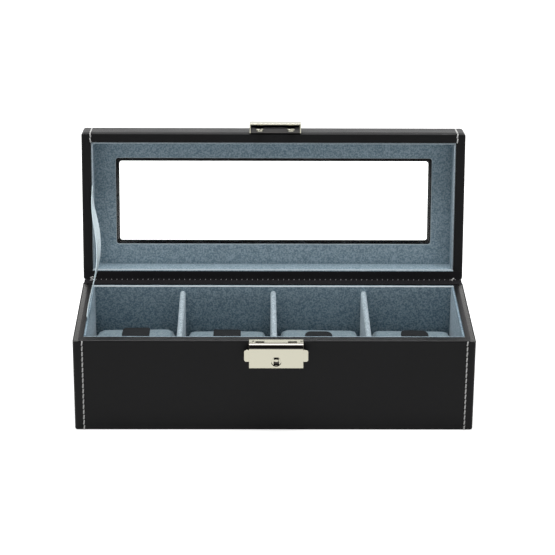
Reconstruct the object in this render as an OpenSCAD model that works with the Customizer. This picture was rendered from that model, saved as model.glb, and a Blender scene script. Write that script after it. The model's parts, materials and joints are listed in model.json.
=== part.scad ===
// Watch box: a leather-covered case with four velour compartments, a windowed
// lid on a leather hinge, a ribbon stay and a spring latch with a key.
// Millimetres. Origin at the middle of the underside, front towards -Y, +Z up.
// The lid is drawn open, as it rests on its stay.

/* [Case] */
// Outside width of the case
case_w = 291.2; // [240:0.2:340]
// Outside depth of the case, front to back
case_d = 114; // [100:1:140]
// Height of the base, underside to rim
base_h = 71.4; // [64:0.2:90]
// Height of the lid, rim to top
lid_h = 25; // [22:0.5:34]
// Radius of the upright corners
corner_r = 2; // [1.8:0.2:3]
// Radius of the folded leather edges
edge_r = 1.3; // [1.3:0.1:1.8]
// Angle at which the stay holds the lid open
open_angle = 98.8; // [92:0.2:106]
// Gap between the two rims when the lid is shut
lid_gap = 1.4; // [1.3:0.1:1.8]

/* [Boards and covers] */
// Thickness of the wall boards
board_t = 6; // [5:0.5:7]
// Thickness of the floor board
floor_t = 5; // [4:0.5:7]
// Thickness of the leather
leather_t = 1.2; // [0.8:0.1:1.4]
// Width of the leather turned under the base
turn_under = 14; // [9:1:20]
// Distance of the leather seams from the case's sides
seam_inset = 4.4; // [4.2:0.1:6]
// Slack between the felt and the leather round it
felt_slack = 0.2; // [0.1:0.1:0.5]

/* [Lining] */
// Thickness of the velour panels in the base
base_lining_t = 2.4; // [1.5:0.1:3]
// Thickness of the velour panels on the lid's walls
lid_lining_t = 1.3; // [1:0.1:2]
// Thickness of the velour frame round the window
ceiling_t = 1.5; // [1:0.1:2.5]
// How far the lining stops below the rim
lining_drop = 0.4; // [0.2:0.1:1]

/* [Compartments] */
// Thickness of a divider
divider_t = 4.2; // [3:0.2:6]
// How far a divider's top lies below the rim
divider_drop = 4; // [2:0.5:8]

/* [Pillows] */
// Width of a pillow, from side to side
pillow_w = 58; // [46:1:60]
// Length of a pillow, front to back
pillow_len = 84; // [70:1:88]
// Height of a pillow
pillow_h = 38; // [32:1:44]
// Radius of a pillow's front and back ends
pillow_end_r = 12; // [10:0.5:14]
// How much a pillow tapers towards each side
pillow_taper = 2; // [1.5:0.5:4]
// Clearance under a pillow
pillow_clear = 0.3; // [0.2:0.1:0.5]
// Width of a pull tab
tab_w = 20.2; // [16:0.2:26]
// Length of a pull tab over the crown
tab_len = 40; // [30:1:46]
// Thickness of a pull tab
tab_t = 1.2; // [0.8:0.1:1.6]
// Corner radius of a pull tab's free end
tab_corner_r = 3; // [2:0.5:8]
// How far towards the back a pull tab reaches past the crown
tab_reach = 25; // [16:1:26]

/* [Window] */
// Width of the window, between the leather edges
window_w = 237.4; // [180:0.2:240]
// Height of the window, between the leather edges
window_d = 62; // [40:0.2:64]
// Corner radius of the window
window_r = 2; // [1.4:0.2:6]
// Distance of the window's middle from the lid's, to the right
window_x = 0.5; // [-2:0.1:2]
// Distance of the window's middle from the lid's, to the front
window_y = 0.7; // [-2:0.1:2]
// How far the velour frame stands back from the leather edge
window_step = 2.7; // [1:0.1:3]
// Thickness of the leather turned in behind the pane
flange_t = 0.6; // [0.5:0.1:0.8]
// Thickness of the window pane
pane_t = 1.5; // [1:0.1:1.6]
// How far the leather is turned in behind the pane
pane_hold = 3.4; // [3.2:0.1:4]
// Clearance round the pane
pane_clear = 0.3; // [0.1:0.1:0.5]

/* [Lock] */
// Distance of the lock from the middle of the front
lock_x = 1.2; // [-4:0.2:4]
// Width of the lock
lock_w = 39; // [36:0.2:44]
// Height of the lock
lock_h = 18.2; // [17.8:0.2:20]
// How far the lock stands out from the front
lock_proud = 8.5; // [8:0.1:10]
// Thickness of the lock's sheet metal
sheet_t = 0.9; // [0.7:0.1:1.1]
// Thickness of the lock's lip over the rim
lip_t = 0.4; // [0.4:0.1:0.7]
// How far the lock's lip reaches back over the rim
lip_reach = 0.8; // [0.6:0.1:4]
// Radius of the lock's front top edge
lock_edge_r = 4; // [2.4:0.2:4.2]
// Height of the catch on the lid
catch_h = 14; // [11:0.5:16]
// How far the catch stands out from the lid
catch_proud = 7.2; // [6.4:0.1:8]
// Radius of the catch's front top edge
catch_edge_r = 2.4; // [1.6:0.2:2.8]
// Distance between the two hooks
hook_pitch = 23.4; // [20:0.2:26]
// Width of a hook at its root
hook_w = 5.2; // [4.6:0.2:6.2]
// Thickness of a hook
hook_t = 1.2; // [1:0.1:1.4]
// How far the hooks hang below the lid's rim
hook_drop = 10.4; // [10:0.2:10.8]
// How far the hooks stand out from the front
hook_out = 3; // [2.8:0.1:3.4]
// Clearance of a hook in its slot
slot_clear = 0.6; // [0.5:0.1:0.7]
// Height of the latch's ears
ear_h = 9.2; // [8.8:0.2:9.8]
// How far the ears stand out of the lock's sides
ear_out = 3.6; // [3:0.1:5]
// Thickness of the latch slider
slider_t = 1.2; // [1:0.1:1.3]
// Travel of the latch slider
slider_travel = 1.8; // [1.5:0.1:2]
// Radius of the key plug
plug_r = 3.4; // [3.2:0.1:3.6]
// Radial clearance of the key plug
plug_clear = 0.05; // [0.03:0.01:0.08]
// Radius of the fixing screws
screw_r = 1.3; // [1:0.1:1.5]
// Length of the fixing screws behind their heads
screw_len = 6; // [4:0.5:7]

/* [Hinge and stay] */
// Thickness of the hinge leather
hinge_t = 0.5; // [0.4:0.05:0.6]
// Width of the ribbon stay
ribbon_w = 10; // [6:0.5:14]
// Thickness of the ribbon stay
ribbon_t = 0.5; // [0.4:0.1:0.8]
// Distance of the stay's ends from the hinge
ribbon_reach = 75; // [60:1:80]
// Distance of the stay's ends from the two rims
ribbon_drop = 6.5; // [5.5:0.5:10]
// How far the stay bows inwards at its middle
ribbon_bow = 7; // [2:0.5:10]

/* [Hidden] */
$fn = 64;
LEATHER = [0.14, 0.14, 0.145];
BOARD = [0.62, 0.48, 0.34];
VELOUR = [0.42, 0.5, 0.56];
VELOUR_LIGHT = [0.6, 0.67, 0.72];
CHARCOAL = [0.17, 0.18, 0.2];
NICKEL = [0.76, 0.75, 0.7];
watch_count = 4;
wall_t = board_t + leather_t;
front_y = -case_d / 2;
back_y = case_d / 2;
board_x = case_w / 2 - leather_t;
board_y = case_d / 2 - leather_t;
bay_x = case_w / 2 - wall_t;
bay_y = case_d / 2 - wall_t;
room_x = bay_x - base_lining_t;
room_y = bay_y - base_lining_t;
floor_z = leather_t + floor_t;
lined_z = floor_z + base_lining_t;
divider_top = base_h - divider_drop;
bay_w = (2 * room_x - (watch_count - 1) * divider_t) / watch_count;
bay_pitch = bay_w + divider_t;
pillow_z = lined_z + pillow_clear + pillow_h / 2;
hinge_z = base_h + lid_gap / 2;
// Lid heights are counted from its own rim, in the shut position
ceiling_z = lid_h - leather_t;
lid_board_t = 3.4;
ceiling_low = ceiling_z - lid_board_t;
lid_bay_x = bay_x;
lid_bay_y = bay_y;
pane_w = window_w + 2 * leather_t + 2 * pane_hold;
pane_d = window_d + 2 * leather_t + 2 * pane_hold;
lock_top = base_h + lip_t;
key_drop = 13.1;
key_z = lock_top - key_drop;
slot_w = hook_w + 2 * slot_clear;
slot_d = hook_t + 2 * slot_clear;
slider_out = hook_out + hook_t + 0.3;
slider_front = slider_out + slider_t;
plate_t = 1;
ear_top = 5.2;
ear_clear = 0.3;
key_w = 2.6;
key_pin_r = 1;
key_floor = 0.5;
screw_pitch = 27;
spring_x1 = -16.5;
spring_x2 = -7.5;
spring_z = -ear_top - ear_h + 0.2;
tooth_h = 1.2;
tooth_z = -ear_top - tooth_h - 0.1;
hook_notch = slider_travel - 0.2;
hook_low = 0.6;
// The pillow's outline is an oval of four arcs
oval_b = pillow_len / 2 - pillow_end_r;
oval_k = pillow_h / 2 - pillow_end_r;
oval_c = (oval_b * oval_b - oval_k * oval_k) / (2 * oval_k);
oval_r = oval_c + pillow_h / 2;
oval_y = oval_b * oval_r / (oval_r - pillow_end_r);
tab_seat = 0.03;
// How far each pillow lies to the right of its compartment's middle
PILLOW_X = [-0.4, -0.6, 0, 1.1];
// How far each pull tab lies to the right of its pillow's middle and further back
TAB_X = [0.6, 0.2, -0.7, 1.6];
TAB_Y = [3.5, 2, -1, 1.5];
// How far each pull tab lifts off its pillow, in degrees
TAB_LIFT = [3.5, 1, 0, 1];

// ---------------------------------------------------------------- helpers

// A block given by two opposite corners
module span(from, to) {
    translate(from) cube(to - from);
}

// A rectangle with round corners, centred
module round_rect(w, d, r) {
    square([w - 2 * r, d], center = true);
    square([w, d - 2 * r], center = true);
    for (x = [-1, 1], y = [-1, 1])
        translate([x * (w / 2 - r), y * (d / 2 - r)]) circle(r);
}

// The lid's pieces are drawn shut, with z from the lid's rim, and swung open
module swing() {
    translate([0, back_y, hinge_z])
        rotate([-open_angle, 0, 0])
            translate([0, -back_y, lid_gap / 2]) children();
}

// A wall seen end on, its outer face on x = 0, with both outer edges rounded
module wall_outline(w, low, high, r) {
    translate([0, low + r]) square([w, high - low - 2 * r]);
    translate([r, low]) square([w - r, high - low]);
    for (y = [low + r, high - r]) translate([r, y]) circle(r);
}

// Leather folded over a board, seen end on, with a lip at each end
module fold(height, low_lip, high_lip) {
    w = max(low_lip, high_lip, corner_r);
    difference() {
        wall_outline(w, 0, height, edge_r);
        translate([leather_t, leather_t]) square([w, height - 2 * leather_t]);
        translate([low_lip, -1]) square([w, height / 2 + 1]);
        translate([high_lip, height / 2]) square([w, height]);
    }
}

// A straight run of folded leather along X on the front, between two places
module front_run(x1, x2, height, low_lip, high_lip) {
    translate([x1, front_y, 0]) rotate([90, 0, 90])
        linear_extrude(x2 - x1) fold(height, low_lip, high_lip);
}

// A straight run of folded leather along Y on the left side
module left_run(reach, height, low_lip, high_lip) {
    translate([-case_w / 2, reach, 0]) rotate([90, 0, 0])
        linear_extrude(2 * reach) fold(height, low_lip, high_lip);
}

// The leather round one upright corner, front left
module corner_run(height) {
    translate([-case_w / 2 + corner_r, front_y + corner_r, 0])
        rotate([0, 0, 180]) rotate_extrude(angle = 90)
            translate([corner_r, 0]) mirror([1, 0])
                fold(height, corner_r, corner_r);
}

// The leather of the left side, wrapped round both corners to the seams
module side_cover(height, low_lip, high_lip) {
    seam = case_w / 2 - seam_inset;
    corner = case_w / 2 - corner_r;
    low = min(low_lip, seam_inset);
    high = min(high_lip, seam_inset);
    left_run(case_d / 2 - corner_r, height, low, high);
    left_run(case_d / 2 - low_lip, height, low_lip, high);
    left_run(case_d / 2 - high_lip, height, low, high_lip);
    for (end = [0, 1]) mirror([0, end, 0]) {
        corner_run(height);
        front_run(-corner, -seam, height, low_lip, high_lip);
    }
}

// The leather of the front, between the seams
module front_cover(height, low_lip, high_lip) {
    seam = case_w / 2 - seam_inset;
    front_run(-seam, seam, height, low_lip, high_lip);
}

// Holes for two fixing screws, along Y through the front wall
module screw_holes(z) {
    for (x = [-1, 1])
        translate([lock_x + x * screw_pitch / 2, front_y - 1, z])
            rotate([-90, 0, 0]) cylinder(r = screw_r, h = screw_len + 1);
}

// ---------------------------------------------------------------- base

module underside_felt() {
    x = case_w / 2 - turn_under - felt_slack;
    y = case_d / 2 - turn_under - felt_slack;
    color(CHARCOAL) span([-x, -y, 0], [x, y, leather_t]);
}

module base_floor_board() {
    color(BOARD) span([-bay_x, -bay_y, leather_t], [bay_x, bay_y, floor_z]);
}

module base_front_board() {
    color(BOARD) difference() {
        span([-board_x, -board_y, leather_t], [board_x, -bay_y, base_h - leather_t]);
        screw_holes(key_z);
        upright_corners(base_h);
    }
}

// Rounds a front board's two ends to fit inside the leather's corners
module upright_corners(height) {
    r = corner_r - leather_t;
    for (side = [0, 1]) mirror([side, 0, 0])
        translate([-board_x, -board_y, -1]) difference() {
            translate([-1, -1, 0]) cube([r + 1, r + 1, height + 2]);
            translate([r, r, -1]) cylinder(r = r, h = height + 4);
        }
}

module base_back_board() {
    color(BOARD) mirror([0, 1, 0]) difference() {
        span([-board_x, -board_y, leather_t], [board_x, -bay_y, base_h - leather_t]);
        upright_corners(base_h);
    }
}

module base_left_board() {
    color(BOARD)
        span([-board_x, -bay_y, leather_t], [-bay_x, bay_y, base_h - leather_t]);
}

module base_right_board() {
    mirror([1, 0, 0]) base_left_board();
}

module base_front_leather() {
    color(LEATHER) difference() {
        front_cover(base_h, turn_under, wall_t);
        screw_holes(key_z);
    }
}

module base_back_leather() {
    color(LEATHER) mirror([0, 1, 0]) front_cover(base_h, turn_under, wall_t);
}

module base_left_leather() {
    color(LEATHER) side_cover(base_h, turn_under, wall_t);
}

module base_right_leather() {
    mirror([1, 0, 0]) base_left_leather();
}

module floor_lining() {
    color(VELOUR) span([-bay_x, -bay_y, floor_z], [bay_x, bay_y, lined_z]);
}

module front_lining() {
    color(VELOUR)
        span([-bay_x, -bay_y, lined_z], [bay_x, -room_y, base_h - lining_drop]);
}

module back_lining() {
    mirror([0, 1, 0]) front_lining();
}

module left_lining() {
    color(VELOUR)
        span([-bay_x, -room_y, lined_z], [-room_x, room_y, base_h - lining_drop]);
}

module right_lining() {
    mirror([1, 0, 0]) left_lining();
}

// A divider with a rounded top edge, between two compartments
module divider(number) {
    x = -room_x + number * bay_pitch - divider_t / 2;
    r = divider_t / 2;
    color(VELOUR_LIGHT) translate([x, room_y, 0]) rotate([90, 0, 0])
        linear_extrude(2 * room_y) {
            translate([-r, lined_z]) square([divider_t, divider_top - r - lined_z]);
            translate([0, divider_top - r]) circle(r);
        }
}

// ---------------------------------------------------------------- pillows

function bay_centre(number) = -room_x + bay_w / 2 + (number - 1) * bay_pitch;
function pillow_x(number) = bay_centre(number) + PILLOW_X[number - 1];

// A pillow's outline from the side, less a taper all round
module oval(taper) {
    for (y = [-1, 1]) translate([y * oval_b, 0]) circle(pillow_end_r - taper);
    intersection() {
        translate([0, -oval_c]) circle(oval_r - taper, $fn = 180);
        translate([0, oval_c]) circle(oval_r - taper, $fn = 180);
        square([2 * oval_y - 2 * taper, pillow_h], center = true);
    }
}

module pillow_slice(width, taper) {
    rotate([90, 0, 90]) translate([0, 0, -width / 2])
        linear_extrude(width) oval(taper);
}

module pillow(number) {
    color(VELOUR_LIGHT) translate([pillow_x(number), 0, pillow_z]) hull() {
        pillow_slice(pillow_w - 2 * pillow_taper, 0);
        pillow_slice(pillow_w - pillow_taper / 2, pillow_taper / 3);
        pillow_slice(pillow_w, pillow_taper);
    }
}

// A leather strip over the crown, sewn at its front end and free at the back
module pillow_tab(number) {
    end_y = tab_reach + TAB_Y[number - 1];
    root_y = end_y - tab_len;
    inner = oval_r + tab_seat;
    color(CHARCOAL)
        translate([pillow_x(number) + TAB_X[number - 1], 0, pillow_z])
            translate([0, root_y, pillow_h / 2])
                rotate([TAB_LIFT[number - 1], 0, 0])
                    translate([0, -root_y, -pillow_h / 2])
                        intersection() {
                            translate([-tab_w / 2, 0, -oval_c]) rotate([90, 0, 90])
                                difference() {
                                    cylinder(r = inner + tab_t, h = tab_w, $fn = 180);
                                    translate([0, 0, -1])
                                        cylinder(r = inner, h = tab_w + 2, $fn = 180);
                                }
                            translate([0, end_y - tab_len / 2, 0])
                                linear_extrude(pillow_h)
                                    round_rect(tab_w, tab_len, tab_corner_r);
                        }
}

// ---------------------------------------------------------------- lock

// Places the lock: x from its middle, y outwards from the front, z from its top
module at_lock() {
    translate([lock_x, front_y, lock_top]) mirror([0, 1, 0]) children();
}

// A sheet-metal case, open at the back, with a rounded top front edge
module shell_case(width, height, proud) {
    difference() {
        shell_form(width, height, proud, lock_edge_r);
        translate([0, -1, 0])
            shell_form(width - 2 * sheet_t, height, proud + 1 - sheet_t,
                lock_edge_r - sheet_t, sheet_t);
    }
}

module shell_form(width, height, proud, r, inset = 0) {
    low = -height + inset;
    high = -inset;
    translate([-width / 2, 0, 0]) rotate([90, 0, 90])
        linear_extrude(width) {
            translate([0, low]) square([proud, high - low - r]);
            translate([0, low]) square([proud - r, high - low]);
            translate([proud - r, high - r]) circle(r);
        }
}

module lock_case() {
    color(NICKEL) at_lock() difference() {
        union() {
            shell_case(lock_w, lock_h, lock_proud);
            span([-lock_w / 2, -lip_reach, -lip_t], [lock_w / 2, sheet_t, 0]);
            translate([0, slider_front + 0.4, -key_drop]) rotate([-90, 0, 0])
                cylinder(r = plug_r + 1.2, h = lock_proud - slider_front - 0.8);
        }
        for (x = [-1, 1])
            translate([x * hook_pitch / 2 - slot_w / 2, hook_out - slot_clear,
                -lock_edge_r - sheet_t])
                cube([slot_w, slot_d, lock_edge_r + sheet_t + 1]);
        translate([0, slider_front, -key_drop]) rotate([-90, 0, 0])
            cylinder(r = plug_r + plug_clear, h = lock_proud);
        translate([-lock_w, slider_out - ear_clear, -ear_top - ear_h - ear_clear])
            cube([2 * lock_w, slider_t + 2 * ear_clear, ear_h + 2 * ear_clear]);
    }
}

module lock_backplate() {
    inside = lock_w / 2 - sheet_t - 0.2;
    low = -lock_h + sheet_t + 0.2;
    color(NICKEL) at_lock() {
        difference() {
            span([-inside, 0, low], [inside, plate_t, -sheet_t - 0.2]);
            for (x = [-1, 1])
                translate([x * screw_pitch / 2, -1, -key_drop])
                    rotate([-90, 0, 0]) cylinder(r = screw_r, h = plate_t + 2);
        }
        span([spring_x2, plate_t, low], [spring_x2 + 1.2, slider_front, spring_z + 3]);
        for (side = [0, 1]) mirror([side, 0, 0])
            span([inside - 2.4, plate_t, low],
                [inside - 1.2, slider_out - ear_clear, tooth_z - ear_clear]);
    }
}

// The slider: a plate with two ears, cut away for the key plug's cam, and with
// a tooth beside each hook
module latch_slider() {
    half = lock_w / 2 + ear_out;
    low = -ear_top - ear_h;
    color(NICKEL) at_lock() {
        difference() {
            translate([0, slider_front, low + ear_h / 2]) rotate([90, 0, 0])
                linear_extrude(slider_t) round_rect(2 * half, ear_h, 1.6);
            translate([spring_x1, slider_out - 1, low - 1])
                cube([2 * -spring_x1, slider_t + 2, 1 + ear_h - 3.6]);
        }
        for (x = [-1, 1])
            translate([x * hook_pitch / 2 + hook_w / 2 - hook_notch, hook_out, tooth_z])
                cube([2.2, slider_out - hook_out, tooth_h]);
    }
}

// A flat spring bent to and fro between the backplate's lug and the slider
module slider_spring() {
    bends = 5;
    wire = 0.5;
    step = (spring_x2 - spring_x1 - wire) / bends;
    low = spring_z;
    high = spring_z + 2.5;
    path = [for (i = [0:bends]) [spring_x1 + i * step, i % 2 == 0 ? low : high]];
    color(NICKEL) at_lock()
        translate([0, slider_front, 0]) rotate([90, 0, 0])
            linear_extrude(slider_t) for (i = [0:bends - 1])
                polygon([path[i], path[i] + [wire, 0], path[i + 1] + [wire, 0], path[i + 1]]);
}

// The plug that the key turns: a barrel with a slot and a pin in the middle
module key_plug() {
    length = lock_proud - slider_front - 0.4;
    slot_high = plug_r - 0.5;
    color(NICKEL) at_lock() translate([0, lock_proud - length, -key_drop])
        rotate([-90, 0, 0]) {
            difference() {
                cylinder(r = plug_r, h = length);
                translate([-key_w / 2, -slot_high, key_floor])
                    cube([key_w, 2 * slot_high, length]);
            }
            cylinder(r = key_pin_r, h = length - 0.3);
        }
}

// A fixing screw with a flat head, along Y into the front wall
module screw(head_out) {
    rotate([90, 0, 0]) {
        translate([0, 0, head_out]) cylinder(r = screw_r + 1, h = 0.9);
        translate([0, 0, head_out - screw_len])
            cylinder(r = screw_r - 0.05, h = screw_len + 0.1);
    }
}

module lock_screws() {
    color(NICKEL) for (x = [-1, 1])
        translate([lock_x + x * screw_pitch / 2, front_y, key_z])
            screw(plate_t);
}

// ---------------------------------------------------------------- lid

module lid_front_board() {
    color(BOARD) swing() difference() {
        span([-board_x, -board_y, leather_t], [board_x, -bay_y, ceiling_low]);
        screw_holes(catch_h / 2);
        upright_corners(lid_h);
    }
}

module lid_back_board() {
    color(BOARD) swing() mirror([0, 1, 0]) difference() {
        span([-board_x, -board_y, leather_t], [board_x, -bay_y, ceiling_low]);
        upright_corners(lid_h);
    }
}

module lid_left_board() {
    color(BOARD) swing()
        span([-board_x, -bay_y, leather_t], [-bay_x, bay_y, ceiling_low]);
}

module lid_right_board() {
    mirror([1, 0, 0]) lid_left_board();
}

// The top panel, with the window cut through it and a rebate for the pane
module lid_top_board() {
    through_w = window_w + 2 * leather_t;
    through_d = window_d + 2 * leather_t;
    color(BOARD) swing() difference() {
        translate([0, 0, ceiling_low]) linear_extrude(lid_board_t)
            round_rect(2 * board_x, 2 * board_y, corner_r - leather_t);
        at_window(ceiling_low - 1) linear_extrude(lid_board_t + 2)
            round_rect(through_w, through_d, window_r + leather_t);
        at_window(ceiling_low - 1) linear_extrude(pane_t + flange_t + 1)
            square([pane_w + 2 * pane_clear, pane_d + 2 * pane_clear], center = true);
    }
}

// Moves a piece to the window's middle, at a height above the lid's rim
module at_window(height) {
    translate([window_x, -window_y, height]) children();
}

module lid_front_leather() {
    color(LEATHER) swing() difference() {
        front_cover(lid_h, wall_t, corner_r);
        screw_holes(catch_h / 2);
    }
}

module lid_back_leather() {
    color(LEATHER) swing() mirror([0, 1, 0]) front_cover(lid_h, wall_t, corner_r);
}

module lid_left_leather() {
    color(LEATHER) swing() side_cover(lid_h, wall_t, corner_r);
}

module lid_right_leather() {
    mirror([1, 0, 0]) lid_left_leather();
}

// The top leather, turned down round the window's edge and in behind the pane
module lid_top_leather() {
    w = case_w - 2 * corner_r;
    d = case_d - 2 * corner_r;
    turned_z = ceiling_low + pane_t;
    color(LEATHER) swing() difference() {
        union() {
            translate([-w / 2, -d / 2, ceiling_z]) cube([w, d, leather_t]);
            at_window(turned_z) linear_extrude(lid_h - turned_z)
                round_rect(window_w + 2 * leather_t, window_d + 2 * leather_t,
                    window_r + leather_t);
            at_window(turned_z) linear_extrude(flange_t)
                square([pane_w + 2 * pane_clear, pane_d + 2 * pane_clear], center = true);
        }
        at_window(ceiling_low) linear_extrude(lid_h)
            round_rect(window_w, window_d, window_r);
    }
}

module window_pane() {
    color([0.85, 0.9, 0.92, 0.4]) swing() at_window(ceiling_low)
        linear_extrude(pane_t) square([pane_w, pane_d], center = true);
}

// The velour frame that covers the ceiling and holds the pane
module lid_ceiling_lining() {
    color(VELOUR) swing() difference() {
        translate([0, 0, ceiling_low - ceiling_t]) linear_extrude(ceiling_t)
            square([2 * lid_bay_x, 2 * lid_bay_y], center = true);
        at_window(ceiling_low - ceiling_t - 1) linear_extrude(ceiling_t + 2)
            round_rect(window_w + 2 * window_step, window_d + 2 * window_step, window_r);
    }
}

module lid_front_lining() {
    low = lining_drop;
    high = ceiling_low - ceiling_t;
    color(VELOUR) swing()
        span([-lid_bay_x, -lid_bay_y, low], [lid_bay_x, lid_lining_t - lid_bay_y, high]);
}

module lid_back_lining() {
    low = lining_drop;
    high = ceiling_low - ceiling_t;
    color(VELOUR) swing()
        span([-lid_bay_x, lid_bay_y - lid_lining_t, low], [lid_bay_x, lid_bay_y, high]);
}

module lid_left_lining() {
    low = lining_drop;
    high = ceiling_low - ceiling_t;
    y = lid_bay_y - lid_lining_t;
    color(VELOUR) swing()
        span([-lid_bay_x, -y, low], [lid_lining_t - lid_bay_x, y, high]);
}

module lid_right_lining() {
    mirror([1, 0, 0]) lid_left_lining();
}

// ---------------------------------------------------------------- catch

// Places the catch: x from its middle, y outwards, z up from the lid's rim
module at_catch() {
    swing() translate([lock_x, front_y, 0]) mirror([0, 1, 0]) children();
}

module catch_case() {
    color(NICKEL) at_catch() translate([0, 0, catch_h]) difference() {
        shell_form(lock_w, catch_h, catch_proud, catch_edge_r);
        translate([0, -1, -sheet_t])
            shell_form(lock_w - 2 * sheet_t, catch_h, catch_proud + 1 - sheet_t,
                catch_edge_r - sheet_t);
    }
}

// A hook's outline: a tapered tongue with a notch for the slider's tooth
module hook_outline() {
    tip = hook_w * 0.3;
    notch_z = tooth_z + lip_t - lid_gap - hook_low - 0.5;
    difference() {
        polygon([[-hook_w / 2, plate_t], [hook_w / 2, plate_t],
            [hook_w / 2, 1.6 - hook_drop], [tip, -hook_drop], [-tip, -hook_drop],
            [-hook_w / 2, 1.6 - hook_drop]]);
        translate([hook_w / 2 - hook_notch - 0.4, notch_z])
            square([hook_notch + 1, tooth_h + 1.4]);
    }
}

// The plate that carries the two hooks, bent out over the lock
module catch_hooks() {
    half = lock_w / 2 - sheet_t - 0.2;
    low = hook_low;
    color(NICKEL) at_catch() {
        difference() {
            span([-half, 0, low], [half, plate_t, catch_h - sheet_t - 0.2]);
            for (x = [-1, 1])
                translate([x * screw_pitch / 2, -1, catch_h / 2])
                    rotate([-90, 0, 0]) cylinder(r = screw_r, h = plate_t + 2);
        }
        span([-half, 0, low], [half, hook_out + hook_t, low + plate_t]);
        for (x = [-1, 1])
            translate([x * hook_pitch / 2, hook_out + hook_t, low]) rotate([90, 0, 0])
                linear_extrude(hook_t) hook_outline();
    }
}

module catch_screws() {
    color(NICKEL) swing() for (x = [-1, 1])
        translate([lock_x + x * screw_pitch / 2, front_y, catch_h / 2]) screw(plate_t);
}

// ---------------------------------------------------------------- hinge and stay

// The strip that lines the two back rims, with a bead along the hinge's axis
module hinge_leather() {
    half = case_w / 2 - seam_inset;
    color(LEATHER) {
        span([-half, back_y - wall_t, base_h], [half, back_y, base_h + hinge_t]);
        swing() span([-half, back_y - wall_t, -hinge_t], [half, back_y, 0]);
        translate([edge_r - case_w / 2, back_y, hinge_z]) rotate([0, 90, 0])
            cylinder(r = lid_gap / 2 - 0.02, h = case_w - 2 * edge_r);
    }
}

// The ribbon that stops the lid, from one side wall to the other
ribbon_steps = 16;
function lerp(a, b, t) = a + (b - a) * t;
function ribbon_end_base() = [-room_x + ribbon_t / 2, back_y - ribbon_reach, base_h - ribbon_drop];
function swung(y, z) = [
    (y - back_y) * cos(open_angle) + (z + lid_gap / 2) * sin(open_angle) + back_y,
    -(y - back_y) * sin(open_angle) + (z + lid_gap / 2) * cos(open_angle) + hinge_z
];
function ribbon_end_lid() = concat([-lid_bay_x + lid_lining_t + ribbon_t / 2],
    swung(back_y - ribbon_reach, ribbon_drop));
function ribbon_mid(t) = lerp(ribbon_end_base(), ribbon_end_lid(), t)
    + [ribbon_bow * pow(sin(180 * t), 2), 0, 0];
function ribbon_ring(t, across) = [
    for (c = [[-1, -1], [1, -1], [1, 1], [-1, 1]])
        ribbon_mid(t) + across * c[0] * ribbon_w / 2 + [c[1] * ribbon_t / 2, 0, 0]
];
module lid_stay() {
    chord = ribbon_end_lid() - ribbon_end_base();
    across = [0, chord[2], -chord[1]] / norm([chord[1], chord[2]]);
    points = [for (i = [0:ribbon_steps]) each ribbon_ring(i / ribbon_steps, across)];
    last = 4 * ribbon_steps;
    sides = [for (i = [0:ribbon_steps - 1]) for (k = [0:3])
        [4 * i + k, 4 * i + (k + 1) % 4, 4 * i + 4 + (k + 1) % 4, 4 * i + 4 + k]];
    color([0.82, 0.88, 0.9])
        polyhedron(points, concat([[3, 2, 1, 0]], sides, [[last, last + 1, last + 2, last + 3]]));
}

// ---------------------------------------------------------------- nodes

underside_felt();
base_floor_board();
base_front_board();
base_back_board();
base_left_board();
base_right_board();
base_front_leather();
base_back_leather();
base_left_leather();
base_right_leather();
floor_lining();
front_lining();
back_lining();
left_lining();
right_lining();
divider(1);  // divider_1
divider(2);  // divider_2
divider(3);  // divider_3
pillow(1);  // pillow_1
pillow(2);  // pillow_2
pillow(3);  // pillow_3
pillow(4);  // pillow_4
pillow_tab(1);  // pillow_tab_1
pillow_tab(2);  // pillow_tab_2
pillow_tab(3);  // pillow_tab_3
pillow_tab(4);  // pillow_tab_4
lock_backplate();
lock_case();
lock_screws();
latch_slider();
slider_spring();
key_plug();
lid_front_board();
lid_back_board();
lid_left_board();
lid_right_board();
lid_top_board();
lid_front_leather();
lid_back_leather();
lid_left_leather();
lid_right_leather();
lid_top_leather();
window_pane();
lid_ceiling_lining();
lid_front_lining();
lid_back_lining();
lid_left_lining();
lid_right_lining();
catch_case();
catch_hooks();
catch_screws();
hinge_leather();
lid_stay();
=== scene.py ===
# A leather-covered watch box with four velour compartments, lift-out watch pillows,
# a windowed lid held open by a ribbon, and a nickel spring latch.
import json
import math

import bmesh
import bpy
from mathutils import Euler, Matrix, Vector

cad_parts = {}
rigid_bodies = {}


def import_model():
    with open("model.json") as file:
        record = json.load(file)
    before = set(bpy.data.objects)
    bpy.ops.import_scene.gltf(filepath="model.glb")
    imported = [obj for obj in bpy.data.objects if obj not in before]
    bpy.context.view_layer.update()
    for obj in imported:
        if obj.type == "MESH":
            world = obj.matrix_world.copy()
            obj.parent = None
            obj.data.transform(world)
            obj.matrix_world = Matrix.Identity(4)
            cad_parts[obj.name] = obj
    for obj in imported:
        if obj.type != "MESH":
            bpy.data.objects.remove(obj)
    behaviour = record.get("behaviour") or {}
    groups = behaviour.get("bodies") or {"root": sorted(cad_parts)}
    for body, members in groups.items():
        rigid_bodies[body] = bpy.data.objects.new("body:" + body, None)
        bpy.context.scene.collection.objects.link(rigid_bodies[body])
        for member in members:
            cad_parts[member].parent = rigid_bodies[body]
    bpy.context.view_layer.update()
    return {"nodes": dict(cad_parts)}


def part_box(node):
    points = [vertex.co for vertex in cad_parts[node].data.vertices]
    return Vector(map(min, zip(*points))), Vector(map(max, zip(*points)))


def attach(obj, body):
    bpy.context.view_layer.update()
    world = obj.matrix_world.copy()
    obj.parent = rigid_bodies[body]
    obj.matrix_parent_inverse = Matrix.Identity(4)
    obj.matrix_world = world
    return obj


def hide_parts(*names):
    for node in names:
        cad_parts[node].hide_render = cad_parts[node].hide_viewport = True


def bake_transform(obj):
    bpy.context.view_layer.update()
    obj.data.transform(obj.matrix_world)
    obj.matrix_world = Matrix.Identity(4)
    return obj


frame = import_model()
nodes = frame["nodes"]


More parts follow.
